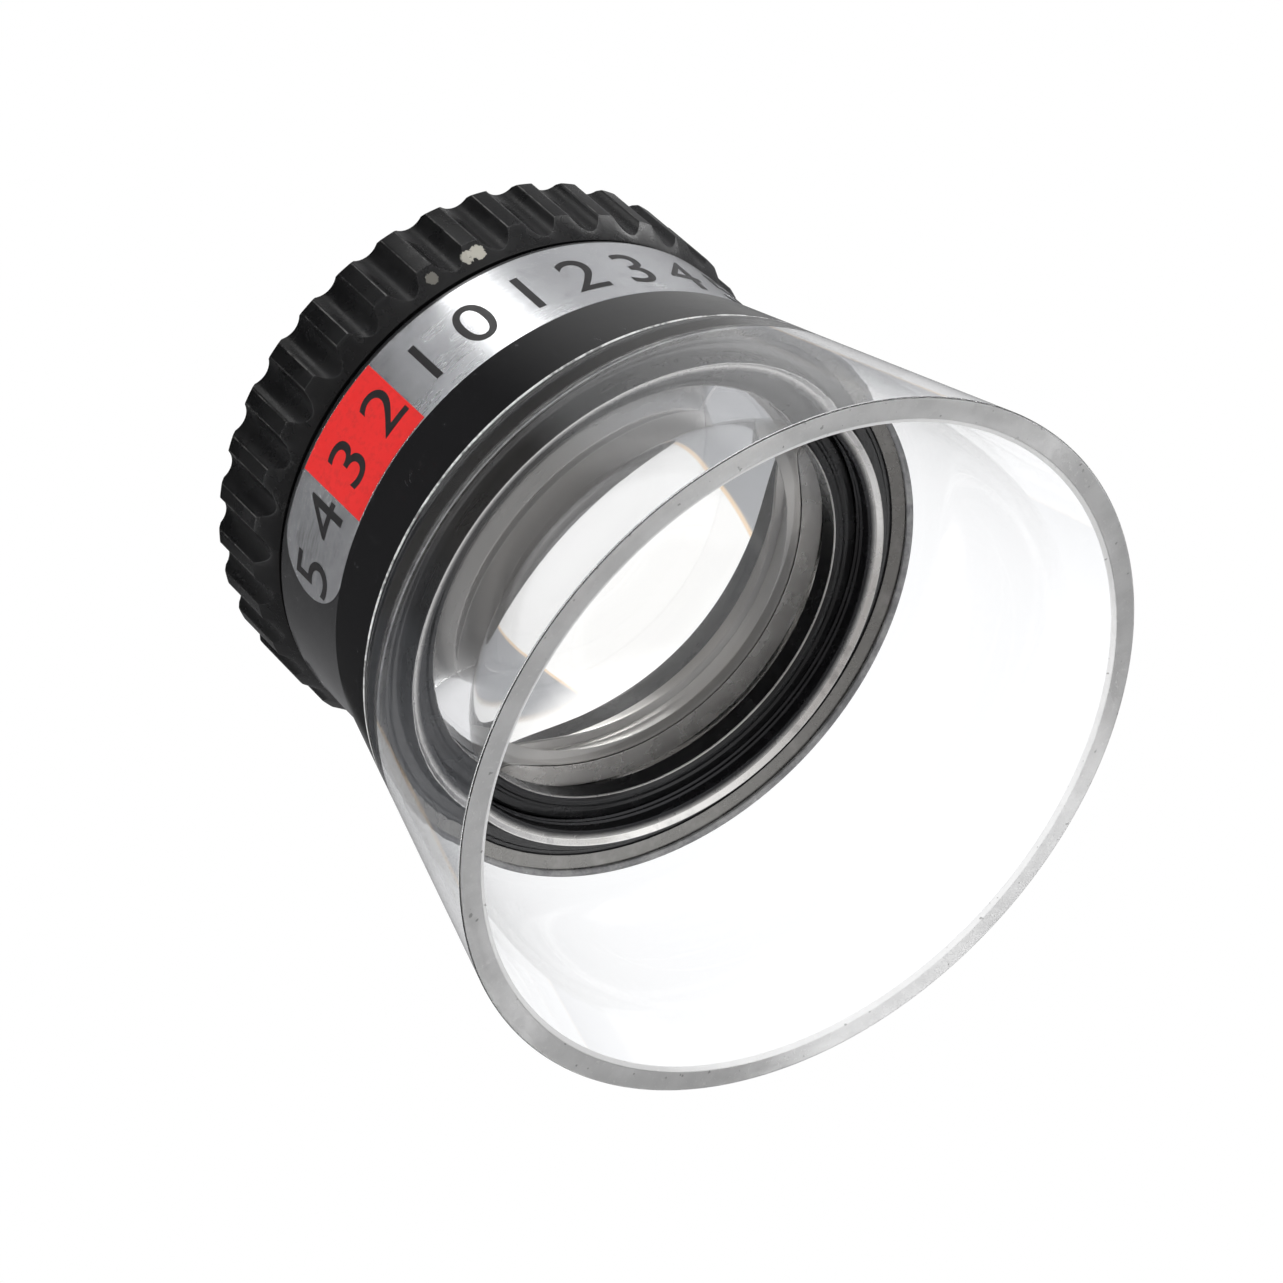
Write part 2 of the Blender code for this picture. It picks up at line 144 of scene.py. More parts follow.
# ------------------------------------------------------------------ material helpers
class Tree:
    """Small wrapper that adds and links shader nodes."""

    def __init__(self, name, **inputs):
        self.mat = bpy.data.materials.new(name)
        self.mat.use_nodes = True
        self.nt = self.mat.node_tree
        self.shader = self.nt.nodes["Principled BSDF"]
        for key, value in inputs.items():
            self.set(key.replace("_", " "), value)
        self.coord = self.nt.nodes.new("ShaderNodeTexCoord").outputs["Object"]

    def set(self, socket, value):
        self.shader.inputs[socket].default_value = (*value, 1.0) if isinstance(value, tuple) and len(value) == 3 else value

    def node(self, kind, **props):
        n = self.nt.nodes.new(kind)
        for k, v in props.items():
            setattr(n, k, v)
        return n

    def link(self, a, b):
        self.nt.links.new(a, b)

    def noise(self, scale, detail=3.0, rough=0.5, stretch=None, distortion=0.0):
        src = self.coord
        if stretch:
            m = self.node("ShaderNodeMapping")
            m.inputs["Scale"].default_value = stretch
            self.link(src, m.inputs["Vector"])
            src = m.outputs["Vector"]
        n = self.node("ShaderNodeTexNoise")
        n.inputs["Scale"].default_value = scale
        n.inputs["Detail"].default_value = detail
        n.inputs["Roughness"].default_value = rough
        n.inputs["Distortion"].default_value = distortion
        self.link(src, n.inputs["Vector"])
        return n.outputs["Fac"]

    def ramp(self, value, lo, hi, out_lo=0.0, out_hi=1.0, smooth=True):
        n = self.node("ShaderNodeMapRange")
        n.interpolation_type = "SMOOTHSTEP" if smooth else "LINEAR"
        n.inputs["From Min"].default_value = lo
        n.inputs["From Max"].default_value = hi
        n.inputs["To Min"].default_value = out_lo
        n.inputs["To Max"].default_value = out_hi
        self.link(value, n.inputs["Value"])
        return n.outputs["Result"]

    def math(self, op, a, b=None, c=None):
        n = self.node("ShaderNodeMath", operation=op)
        for i, v in enumerate((a, b, c)):
            if v is None:
                continue
            if isinstance(v, (int, float)):
                n.inputs[i].default_value = v
            else:
                self.link(v, n.inputs[i])
        return n.outputs[0]

    def mix(self, fac, a, b):
        n = self.node("ShaderNodeMix", data_type="RGBA")
        self.link(fac, n.inputs["Factor"])
        for sock, v in ((n.inputs[6], a), (n.inputs[7], b)):
            if isinstance(v, tuple):
                sock.default_value = (*v, 1.0)
            else:
                self.link(v, sock)
        return n.outputs[2]

    def xyz(self):
        n = self.node("ShaderNodeSeparateXYZ")
        self.link(self.coord, n.inputs[0])
        return n.outputs

    def near(self, deg, r, z, reach):
        """1 close to a place given by azimuth, radius and height in mm, 0 beyond reach."""
        a = math.radians(deg)
        d = self.node("ShaderNodeVectorMath", operation="DISTANCE")
        self.link(self.coord, d.inputs[0])
        d.inputs[1].default_value = (r * MM * math.cos(a), r * MM * math.sin(a), z * MM)
        return self.ramp(d.outputs["Value"], reach * MM, 0.35 * reach * MM)

    def bump(self, height, strength, distance, after=None):
        n = self.node("ShaderNodeBump")
        n.inputs["Strength"].default_value = strength
        n.inputs["Distance"].default_value = distance
        self.link(height, n.inputs["Height"])
        if after is not None:
            self.link(after, n.inputs["Normal"])
        return n.outputs["Normal"]

    def to(self, socket, value):
        self.link(value, self.shader.inputs[socket])


def acrylic():
    t = Tree("clear_acrylic", Base_Color=(0.985, 0.99, 1.0), Roughness=0.0, IOR=1.49)
    t.set("Transmission Weight", 1.0)
    flow = t.noise(240, 3.0, 0.5, (1.0, 1.0, 0.25))
    scratch = t.noise(900, 4.0, 0.7, (1.0, 1.0, 0.06), 0.4)
    t.to("Roughness", t.ramp(flow, 0.45, 0.8, 0.0, 0.02))
    t.to("Normal", t.bump(scratch, 0.02, 0.00002, t.bump(flow, 0.03, 0.0002)))
    return t.mat


def frosted_rim(name, clear, low, high):
    """The rim's turned face: the same acrylic, matt from the tool and speckled with fine pits."""
    t = Tree(name, Base_Color=(0.62, 0.63, 0.63), IOR=1.49)
    t.set("Transmission Weight", clear)
    pits = t.ramp(t.noise(3400, 3.0, 0.65), 0.56, 0.70)
    cloud = t.noise(420, 4.0, 0.6)
    t.to("Roughness", t.ramp(t.noise(1500, 3.0, 0.7), 0.35, 0.75, 0.28, 0.5))
    tone = t.mix(t.ramp(cloud, 0.35, 0.7), (low, low, low), (high, high, high))
    tone = t.mix(t.ramp(t.noise(1900, 2.0, 0.5), 0.68, 0.72), tone, (0.40, 0.40, 0.395))
    t.to("Base Color", t.mix(pits, tone, (0.97, 0.97, 0.96)))
    t.to("Normal", t.bump(pits, 0.25, 0.00004))
    return t.mat


def black_plastic(name, colour, rough_lo, rough_hi, bump, coat=0.0):
    t = Tree(name, Base_Color=colour, IOR=1.5)
    t.set("Coat Weight", coat)
    t.set("Coat Roughness", 0.06)
    cloud = t.noise(420, 4.0, 0.6)
    grain = t.noise(5200, 2.0, 0.6)
    wear = t.ramp(t.noise(1600, 5.0, 0.7, (1.0, 1.0, 0.35), 0.6), 0.60, 0.74)
    t.to("Roughness", t.math("ADD", t.ramp(cloud, 0.3, 0.7, rough_lo, rough_hi), t.math("MULTIPLY", wear, 0.16)))
    t.to("Base Color", t.mix(wear, colour, tuple(c * 2.2 + 0.006 for c in colour)))
    t.to("Normal", t.bump(grain, bump, 0.00003, t.bump(cloud, 0.08, 0.00015)))
    return t


def barrel_plastic():
    """Glossy black moulding with a broken near-white line painted along its lower collar edge: a painted highlight."""
    t = black_plastic("black_gloss_plastic", (0.012, 0.012, 0.013), 0.09, 0.2, 0.12, 0.25)
    x, y, z = t.xyz()
    radius = t.math("SQRT", t.math("ADD", t.math("MULTIPLY", x, x), t.math("MULTIPLY", y, y)))
    edge = t.math("MULTIPLY", t.math("MULTIPLY", t.ramp(z, 0.01738, 0.01734), t.ramp(z, 0.01716, 0.01720)), t.ramp(radius, 0.0178, 0.0179))
    # painted highlight: near-white base colour in broken patches on the collar's lower edge fillet
    painted_edge_highlight = t.math("MULTIPLY", edge, t.ramp(t.noise(520, 5.0, 0.75), 0.40, 0.54, 0.25, 1.0))
    base = t.shader.inputs["Base Color"].links[0].from_socket
    t.to("Base Color", t.mix(painted_edge_highlight, base, (0.86, 0.86, 0.85)))
    return t


def ring_plastic():
    t = black_plastic("black_satin_plastic", (0.0042, 0.0042, 0.0045), 0.22, 0.36, 0.25)
    t.set("Specular IOR Level", 0.24)
    x, y, z = t.xyz()
    radius = t.math("SQRT", t.math("ADD", t.math("MULTIPLY", x, x), t.math("MULTIPLY", y, y)))
    low_end = t.math("MULTIPLY", t.ramp(z, 0.0319, 0.0314), t.ramp(radius, 0.01625, 0.01645))
    ragged = t.noise(1900, 5.0, 0.75, None, 0.8)
    # beige chips at the lands' lower ends: those at -78° to -89° are a painted reflection of the softbox on the lower
    # facets, those at 24° and 137° are scuffs
    spots = reach = None
    for deg, size, force in ((-80.7, 0.66, 0.7), (-78.3, 0.72, 0.8), (-89.0, 0.62, 0.25), (24.0, 0.8, 0.35), (137.0, 0.9, 0.35)):
        near = t.near(deg, 16.75, 30.95, size)
        s = t.math("MULTIPLY", t.ramp(near, 0.0, 0.06), force)
        spots = s if spots is None else t.math("MAXIMUM", spots, s)
        reach = near if reach is None else t.math("MAXIMUM", reach, near)
    torn = t.ramp(t.math("ADD", reach, t.math("MULTIPLY", t.math("SUBTRACT", ragged, 0.5), 2.2)), 0.62, 0.70)
    scuff_and_painted_reflection = t.math("MULTIPLY", t.math("MULTIPLY", spots, low_end), torn)
    base = t.shader.inputs["Base Color"].links[0].from_socket
    rough = t.shader.inputs["Roughness"].links[0].from_socket
    t.to("Base Color", t.mix(scuff_and_painted_reflection, base, (0.60, 0.58, 0.51)))
    t.to("Roughness", t.math("ADD", rough, t.math("MULTIPLY", scuff_and_painted_reflection, 0.22)))
    return t.mat


def ring_edge():
    """Land edges of the flutes, painted a little lighter in broken lines: a painted highlight along the edges."""
    t = black_plastic("flute_edge_painted_highlight", (0.006, 0.006, 0.0065), 0.20, 0.34, 0.25)
    broken = t.ramp(t.noise(700, 4.0, 0.7), 0.45, 0.62, 0.1, 1.0)
    base = t.shader.inputs["Base Color"].links[0].from_socket
    t.to("Base Color", t.mix(broken, base, (0.075, 0.074, 0.072)))
    return t.mat


def foil():
    t = Tree("label_foil", Base_Color=(0.80, 0.81, 0.83), Metallic=1.0)
    cloud = t.noise(170, 3.0, 0.5)
    brush = t.noise(2600, 3.0, 0.6, (0.25, 0.25, 2.2))
    t.to("Roughness", t.math("ADD", t.ramp(cloud, 0.3, 0.7, 0.13, 0.24), t.math("MULTIPLY", brush, 0.08)))
    t.to("Base Color", t.mix(t.ramp(t.noise(700, 4.0, 0.7), 0.5, 0.75), (0.80, 0.81, 0.83), (0.70, 0.705, 0.72)))
    t.to("Normal", t.bump(brush, 0.10, 0.00004, t.bump(cloud, 0.20, 0.0003)))
    return t.mat


def ink(name, colour, rough):
    t = Tree(name, Base_Color=colour)
    mottle = t.noise(2200, 3.0, 0.6)
    t.to("Roughness", t.ramp(mottle, 0.3, 0.7, rough, rough + 0.12))
    t.to("Base Color", t.mix(t.ramp(mottle, 0.45, 0.8), colour, tuple(c * 0.82 for c in colour)))
    t.to("Normal", t.bump(t.noise(170, 3.0, 0.5), 0.2, 0.0003))
    return t.mat


def metal(name, colour, metallic, rough_lo, rough_hi, turned=True, bump=0.25, patchy=1.5):
    t = Tree(name, Base_Color=colour, Metallic=metallic)
    x, y, z = t.xyz()
    radius = t.math("SQRT", t.math("ADD", t.math("MULTIPLY", x, x), t.math("MULTIPLY", y, y)))
    cloud = t.noise(500, 4.0, 0.6)
    t.to("Roughness", t.ramp(cloud, 0.3, 0.7, rough_lo, rough_hi))
    t.to("Base Color", t.mix(t.ramp(cloud, 0.45, 0.8), colour, tuple(c * patchy + 0.003 for c in colour)))
    if turned:
        combine = t.node("ShaderNodeCombineXYZ")
        t.link(radius, combine.inputs[0])
        t.link(z, combine.inputs[2])
        n = t.node("ShaderNodeTexNoise")
        n.inputs["Scale"].default_value = 9000
        n.inputs["Detail"].default_value = 2.0
        t.link(combine.outputs[0], n.inputs["Vector"])
        t.to("Normal", t.bump(n.outputs["Fac"], bump, 0.00002))
    else:
        t.to("Normal", t.bump(t.noise(3000, 3.0, 0.6), bump, 0.00003))
    return t


def cell_metal():
    """Black anodised tube whose turned lower edge has been polished bright by handling."""
    t = metal("black_anodised_aluminium", (0.016, 0.016, 0.018), 0.55, 0.22, 0.30, True, 0.15)
    x, y, z = t.xyz()
    radius = t.math("SQRT", t.math("ADD", t.math("MULTIPLY", x, x), t.math("MULTIPLY", y, y)))
    edge = t.math("MULTIPLY", t.ramp(z, 0.01541, 0.01537), t.ramp(t.noise(900, 4.0, 0.6), 0.25, 0.5, 0.7, 1.0))
    edge = t.math("MULTIPLY", edge, t.ramp(radius, 0.01514, 0.01511))
    seat = t.math("MULTIPLY", t.math("MULTIPLY", t.ramp(z, 0.0183, 0.0185), t.ramp(z, 0.0292, 0.0290)), t.ramp(radius, 0.0139, 0.0138))
    base = t.shader.inputs["Base Color"].links[0].from_socket
    tone = t.mix(edge, base, (0.68, 0.67, 0.655))            # polished lower edge
    t.to("Base Color", t.mix(seat, tone, (0.76, 0.745, 0.73)))   # lens seat left unblackened inside
    edge = t.math("MAXIMUM", edge, seat)
    t.to("Metallic", t.ramp(edge, 0.0, 1.0, 0.55, 0.9))
    return t.mat


def bead_cement():
    """Squeezed-out clear cement along the bonded joint, milky in places; its pale patches also serve as a painted
    highlight line along the joint.
    """
    t = Tree("clear_cement_painted_highlight", Base_Color=(0.80, 0.80, 0.80), IOR=1.48)
    t.set("Transmission Weight", 0.25)
    milky_and_highlight = t.noise(380, 5.0, 0.7)
    t.to("Roughness", t.ramp(milky_and_highlight, 0.35, 0.7, 0.08, 0.3))
    t.to("Base Color", t.mix(t.ramp(milky_and_highlight, 0.40, 0.62), (0.30, 0.30, 0.31), (0.55, 0.55, 0.55)))
    t.to("Normal", t.bump(milky_and_highlight, 0.3, 0.00005))
    return t.mat


def glass(name, colour, ior):
    t = Tree(name, Base_Color=colour, Roughness=0.0, IOR=ior)
    t.set("Transmission Weight", 1.0)
    dust = t.ramp(t.noise(1500, 3.0, 0.6), 0.68, 0.8, 0.0, 0.03)
    t.to("Roughness", dust)
    return t.mat


ACRYLIC = acrylic()
FROSTED = frosted_rim("frosted_acrylic_rim", 0.70, 0.80, 0.95)
# inner rim bevel: near-white frosted tone as a painted highlight along the rim's inner edge
BEVEL_HIGHLIGHT = frosted_rim("acrylic_bevel_painted_highlight", 0.35, 0.93, 0.98)
GLOSS = barrel_plastic().mat
CEMENT = metal("spigot_end_grey", (0.20, 0.197, 0.19), 0.85, 0.22, 0.34, True, 0.3).mat
RING = ring_plastic()
FLUTE_EDGE_HIGHLIGHT = ring_edge()
FOIL = foil()
RED = ink("red_ink", (0.82, 0.010, 0.008), 0.36)
BLACK_INK = ink("black_ink", (0.012, 0.011, 0.012), 0.28)
CELL = cell_metal()
RETAINER = metal("black_turned_metal", (0.014, 0.014, 0.015), 0.5, 0.16, 0.30).mat
BAFFLE = metal("spacer_metal", (0.60, 0.585, 0.57), 0.7, 0.30, 0.34, True, 0.03, 1.02).mat
LIP = metal("rubbed_lip_metal", (0.50, 0.49, 0.48), 0.9, 0.24, 0.36, False, 0.3).mat
STEEL = metal("spring_steel_wire", (0.50, 0.50, 0.51), 1.0, 0.22, 0.36, False).mat
SCREW = metal("blackened_screw_steel", (0.07, 0.07, 0.075), 1.0, 0.3, 0.45, False).mat
RUBBER = black_plastic("o_ring_rubber_black", (0.02, 0.02, 0.02), 0.6, 0.8, 0.5).mat
PTFE = black_plastic("ptfe_white", (0.78, 0.78, 0.76), 0.4, 0.55, 0.15).mat
BEAD_WITH_HIGHLIGHT = bead_cement()
LENS = glass("crown_glass", (0.994, 0.992, 0.986), 1.52)

# ------------------------------------------------------------------ clear skirt
skirt = lathe("skirt", [
    (RIM_INNER_R, 0.14, 0.05), (RIM_INNER_R + 0.30, 0.0, 0.10), (RIM_R, 0.0, 0.13),
    (cone_r(JOINT_Z - 0.03), JOINT_Z - 0.03, 0.10),
    (SEAT_R, JOINT_Z - 0.03, 0.05), (SEAT_R, SEAT_Z, 0.06)], [ACRYLIC, FROSTED, BEVEL_HIGHLIGHT], seg=360, steps=6)
for face in skirt.data.polygons:
    if face.center.z < 0.00003 and face.normal.z < -0.85:
        face.material_index = 1
    # inner bevel faces take the painted-highlight bevel finish
    elif face.normal.z < -0.25 and math.hypot(face.center.x, face.center.y) < 0.0208:
        face.material_index = 2
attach(skirt, "body")
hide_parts("clear_skirt")

bead = lathe("cement_bead", [
    (17.05, 15.52, 0.05), (17.2, 15.36, 0.06), (17.42, 15.36, 0.06), (17.42, 15.44, 0.03), (SEAT_R + 0.02, 15.46, 0.03),
    (SEAT_R - 0.01, 15.66, 0.02), (17.05, 15.66, 0.02)], [BEAD_WITH_HIGHLIGHT], seg=300, steps=4)
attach(bead, "body")

# ------------------------------------------------------------------ barrel
RECESS = FOIL_R - 0.09
clip0, clip1 = 31.12 - 0.65, 31.12 + 0.65
barrel = lathe("barrel_shell", [
    (15.35, 16.0, 0.10), (15.95, 16.0, 0.04), (16.1, 16.18, 0.04), (16.28, 16.18, 0.03), (16.36, 16.06, 0.05),
    (SEAT_R - 0.03, 15.72, 0.10),
    (SEAT_R - 0.03, JOINT_Z + 0.02, 0.04), (cone_r(JOINT_Z), JOINT_Z + 0.02, 0.13),
    (cone_r(22.62), 22.62, 0.05), (RECESS, 22.66, 0.10), (RECESS, 29.8, 0.12),
    (15.0, 29.8, 0.05), (15.0, clip0, 0.05), (14.45, clip0, 0.05), (14.45, clip1, 0.05), (15.0, clip1, 0.05),
    (15.0, 32.0, 0.15), (13.5, 32.0, 0.15), (13.5, 24.6, 0.05), (14.45, 24.6, 0.05), (14.45, 23.4, 0.05), (13.5, 23.4, 0.05),
    (13.5, 23.0, 0.1), (15.35, 23.0, 0.1)], [GLOSS, CEMENT], seg=300, steps=4)
for face in barrel.data.polygons:
    r = math.hypot(face.center.x, face.center.y)
    if face.normal.z < -0.5 and r > 0.01632 and face.center.z < 0.0161:
        face.material_index = 1
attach(barrel, "body")
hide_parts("barrel")


# ------------------------------------------------------------------ foil band with its printed marks
def wrap(x, y, depth, deg, z):
    """A flat point (x along the band, y up, depth outwards, in mm) laid on the foil at an azimuth and height."""
    a = math.radians(deg) + x / FOIL_R
    r = FOIL_R + depth
    return Vector((r * MM * math.cos(a), r * MM * math.sin(a), (z + y) * MM))


def foil_band():
    mid, half = 26.2, 3.2
    half_deg, end = 67.0, math.degrees(3.2 / FOIL_R)
    stations = []
    for i in range(24):
        k = 1.0 - math.cos(0.5 * math.pi * i / 24)
        stations.append((-half_deg + k * end, half * math.sqrt(max(0.0, 1.0 - (1.0 - k) ** 2))))
    for i in range(121):
        stations.append((-half_deg + end + 2.0 * (half_deg - end) * i / 120, half))
    stations += [(-d, h) for d, h in reversed(stations[:24])]
    rows = [-1.0, -0.985, -0.965, 0.0, 0.965, 0.985, 1.0]
    bm = bmesh.new()
    cols = []
    for deg, h in stations:
        h = max(h, 0.02)
        outer = [bm.verts.new(wrap(0.0, h * k, -0.003 if abs(k) == 1.0 else 0.0, -90.0 + deg, mid)) for k in rows]
        inner = [bm.verts.new(wrap(0.0, h * k, -0.075, -90.0 + deg, mid)) for k in (1.0, -1.0)]
        cols.append(outer + inner)
    for a, b in zip(cols, cols[1:]):
        for i in range(len(a)):
            j = (i + 1) % len(a)
            bm.faces.new((a[i], b[i], b[j], a[j]))
    bm.faces.new(cols[0])
    bm.faces.new(list(reversed(cols[-1])))
    return to_object("foil_band", bm, [FOIL])


band = foil_band()
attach(band, "body")
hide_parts("label_band")


def slab(bm, x0, x1, y0, y1, deg, z, low=0.001, high=0.012):
    """A printed bar wrapped on the foil: a thin closed slab, finely split along the band."""
    n = max(2, int((x1 - x0) / 0.25))
    cols = []
    for i in range(n + 1):
        x = x0 + (x1 - x0) * i / n
        cols.append([bm.verts.new(wrap(x, y, d, deg, z)) for y, d in ((y0, low), (y1, low), (y1, high), (y0, high))])
    for a, b in zip(cols, cols[1:]):
        for i in range(4):
            j = (i + 1) % 4
            bm.faces.new((a[i], b[i], b[j], a[j]))
    bm.faces.new(cols[0])
    bm.faces.new(list(reversed(cols[-1])))


bm = bmesh.new()
slab(bm, -3.5, 3.5, -3.12, 3.12, -122.0, 26.2, 0.001, 0.008)
red_bar = to_object("red_index_bar", bm, [RED])
SCALE_MID, SCALE_STEP, SCALE_ENDS = -89.5, 12.4, 5


def numerals():
    """Dial numerals 5 ... 1 0 1 ... 5, cut into narrow strips and wrapped on the foil."""
    joined = bmesh.new()
    for k in range(-SCALE_ENDS, SCALE_ENDS + 1):
        curve = bpy.data.curves.new("numeral", "FONT")
        curve.body = str(abs(k))
        curve.size = 4.9
        curve.align_x = "CENTER"
        curve.extrude = 0.0065
        curve.offset = 0.0
        curve.resolution_u = 6
        text = bpy.data.objects.new("numeral", curve)
        bpy.context.scene.collection.objects.link(text)
        bpy.context.view_layer.update()
        mesh = bpy.data.meshes.new_from_object(text.evaluated_get(bpy.context.evaluated_depsgraph_get()))
        part = bmesh.new()
        part.from_mesh(mesh)
        bmesh.ops.remove_doubles(part, verts=part.verts, dist=1e-4)
        for i in range(-14, 15):
            bmesh.ops.bisect_plane(part, geom=part.verts[:] + part.edges[:] + part.faces[:], plane_co=(i * 0.15, 0, 0),
                                   plane_no=(1, 0, 0), dist=1e-5)
        deg = SCALE_MID + k * SCALE_STEP
        for v in part.verts:
            v.co = wrap(v.co.x, v.co.y - 1.75, v.co.z + 0.0085, deg, 26.2)
        tmp = bpy.data.meshes.new("numeral")
        part.to_mesh(tmp)
        part.free()
        joined.from_mesh(tmp)
        bpy.data.objects.remove(text, do_unlink=True)
        bpy.data.meshes.remove(tmp)
        bpy.data.meshes.remove(mesh)
    return to_object("scale_numerals", joined, [BLACK_INK])


digits = numerals()
for piece in (red_bar, digits):
    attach(piece, "body")


# ------------------------------------------------------------------ fluted focus ring
def flute_radius(x):
    """Outer radius at arc distance x from a land's middle, with softly broken land edges."""
    pitch = 2.0 * math.pi * LAND_R / RIBS
    x = abs((x + 0.5 * pitch) % pitch - 0.5 * pitch)
    u = 0.5 * pitch - x                                      # distance from the flute's middle
    rise = FLUTE_R - FLUTE_DEPTH
    w = math.sqrt(FLUTE_R ** 2 - rise ** 2)
    g = math.sqrt(FLUTE_R ** 2 - u * u) - rise if u < w else -(w / rise) * (u - w)
    return LAND_R - 0.5 * (g + math.sqrt(g * g + 4.0 * 0.028 ** 2)) + 0.0


def focus_ring(per_rib=36):
    bm = bmesh.new()
    pitch = 2.0 * math.pi * LAND_R / RIBS
    n = RIBS * per_rib
    cols = []
    for i in range(n):
        a = math.radians(RIB_PHASE) + 2.0 * math.pi * i / n
        o = flute_radius(i * pitch / per_rib)
        top = min(o - 0.05, 16.88)
        outline = fillet([
            (15.3, RING_Z0, 0.05), (16.3, RING_Z0, 0.06), (o, RING_Z0 + (o - 16.3) / 0.55, 0.10),
            (o, RING_Z1 - (o - top), 0.08), (top, RING_Z1, 0.08), (15.9, RING_Z1, 0.25),
            (13.8, RING_Z1 - 0.75, 0.3), (13.5, RING_Z1 - 1.05, 0.1), (13.5, 32.9, 0.1), (15.3, 32.9, 0.05),
            (15.3, clip1, 0.03), (15.85, clip1, 0.03), (15.85, clip0, 0.03), (15.3, clip0, 0.03)], 3)
        cols.append([bm.verts.new((r * MM * math.cos(a), r * MM * math.sin(a), z * MM)) for r, z in outline])
    for a, b in zip(cols, cols[1:] + cols[:1]):
        for i in range(len(a)):
            j = (i + 1) % len(a)
            bm.faces.new((a[i], b[i], b[j], a[j]))
    obj = to_object("fluted_ring", bm, [RING, FLUTE_EDGE_HIGHLIGHT], 60.0)
    count = len(cols[0])
    for face in obj.data.polygons:
        column, row = divmod(face.index, count)
        # the faces along both edges of each land take the painted edge highlight
        if column % per_rib in (5, per_rib - 6) and 9 <= row <= 14:
            face.material_index = 1
    return obj


ring = focus_ring()
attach(ring, "focus_ring")
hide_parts("focus_ring")

# ------------------------------------------------------------------ lens cell with grooved mouth
grooves = []
for i in range(5):
    z = 17.75 - 0.36 * i
    grooves += [(14.3, z, 0.0), (14.42, z - 0.10, 0.0), (14.42, z - 0.20, 0.0), (14.3, z - 0.26, 0.0)]
cell = lathe("cell_tube", [
    (15.1, 15.1, 0.04), (15.2, 15.13, 0.04), (15.2, 15.9, 0.05), (15.05, 16.1, 0.05), (15.05, 21.4, 0.1), (13.2, 21.4, 0.1), (13.2, 34.3, 0.12), (12.65, 34.3, 0.12),
    (11.9, 33.1, 0.1), (11.9, 21.25, 0.05), (13.6, 20.15, 0.05), (13.6, 18.2, 0.05), (14.3, 18.2, 0.05)] + grooves
    + [(14.3, 15.42, 0.05), (14.84, 15.38, 0.04)], [CELL], seg=256, steps=4, sharp=30.0)
for n, deg in enumerate((-135.0, -45.0)):
    cutter = bmesh.new()
    bmesh.ops.create_cube(cutter, size=1.0)
    cutter.transform(Matrix.Diagonal((1.6 * MM, 1.6 * MM, 3.6 * MM, 1.0)))
    cutter.transform(Matrix.Translation((13.25 * MM, 0.0, 27.35 * MM)))
    cutter.transform(Matrix.Rotation(math.radians(deg), 4, "Z"))
    mesh = bpy.data.meshes.new("slot_tool")
    cutter.to_mesh(mesh)
    cutter.free()
    tool = bpy.data.objects.new("slot_tool_%d" % n, mesh)
    bpy.context.scene.collection.objects.link(tool)
    mod = cell.modifiers.new("slot_%d" % n, "BOOLEAN")
    mod.operation, mod.solver, mod.object = "DIFFERENCE", "EXACT", tool


def apply_modifiers(obj):
    bpy.context.view_layer.update()
    done = bpy.data.meshes.new_from_object(obj.evaluated_get(bpy.context.evaluated_depsgraph_get()))
    tools = [m.object for m in obj.modifiers if m.type == "BOOLEAN"]
    obj.modifiers.clear()
    old = obj.data
    obj.data = done
    bpy.data.meshes.remove(old)
    for tool in tools:
        bpy.data.objects.remove(tool, do_unlink=True)


apply_modifiers(cell)
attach(cell, "lens_cell")
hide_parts("lens_cell")


# ------------------------------------------------------------------ retaining rings with spanner slots
def slotted(name, points, slots, radius, z, material, node):
    obj = lathe(name, points, [material], seg=256, steps=4, sharp=30.0)
    for n, deg in enumerate(slots):
        bm = bmesh.new()
        bmesh.ops.create_cube(bm, size=1.0)
        bm.transform(Matrix.Diagonal((2.6 * MM, 1.3 * MM, 1.2 * MM, 1.0)))
        bm.transform(Matrix.Translation((radius * MM, 0.0, z * MM)))
        bm.transform(Matrix.Rotation(math.radians(deg), 4, "Z"))
        mesh = bpy.data.meshes.new("slot_tool")
        bm.to_mesh(mesh)
        bm.free()
        tool = bpy.data.objects.new("%s_tool_%d" % (name, n), mesh)
        bpy.context.scene.collection.objects.link(tool)
        mod = obj.modifiers.new("slot_%d" % n, "BOOLEAN")
        mod.operation, mod.solver, mod.object = "DIFFERENCE", "EXACT", tool
    apply_modifiers(obj)
    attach(obj, "lens_cell")
    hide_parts(node)
    return obj


slotted("field_ring_turned", [
    (12.8, 16.72, 0.10), (13.0, 16.5, 0.08), (13.25, 16.5, 0.03), (13.35, 16.62, 0.03), (13.5, 16.62, 0.03), (13.6, 16.5, 0.03),
    (14.05, 16.5, 0.10), (14.22, 16.7, 0.05), (14.22, 17.95, 0.05), (12.8, 17.95, 0.05)],
    (), 13.4, 16.5, RETAINER, "field_retaining_ring")
field_ring = bpy.data.objects["field_ring_turned"]
field_ring.data.materials.append(LIP)
for face in field_ring.data.polygons:
    if math.hypot(face.center.x, face.center.y) < 0.01288 and face.center.z < 0.01685:
        face.material_index = 1
slotted("eye_ring_turned", [
    (10.2, 29.2, 0.05), (11.82, 29.2, 0.05), (11.82, 31.0, 0.1), (11.5, 31.25, 0.1), (10.95, 31.25, 0.1), (10.2, 30.5, 0.15)],
    (0.0, 180.0), 10.9, 31.2, RETAINER, "eye_retaining_ring")


# ------------------------------------------------------------------ lenses
def sag(r, curve):
    return curve - math.sqrt(curve * curve - r * r)


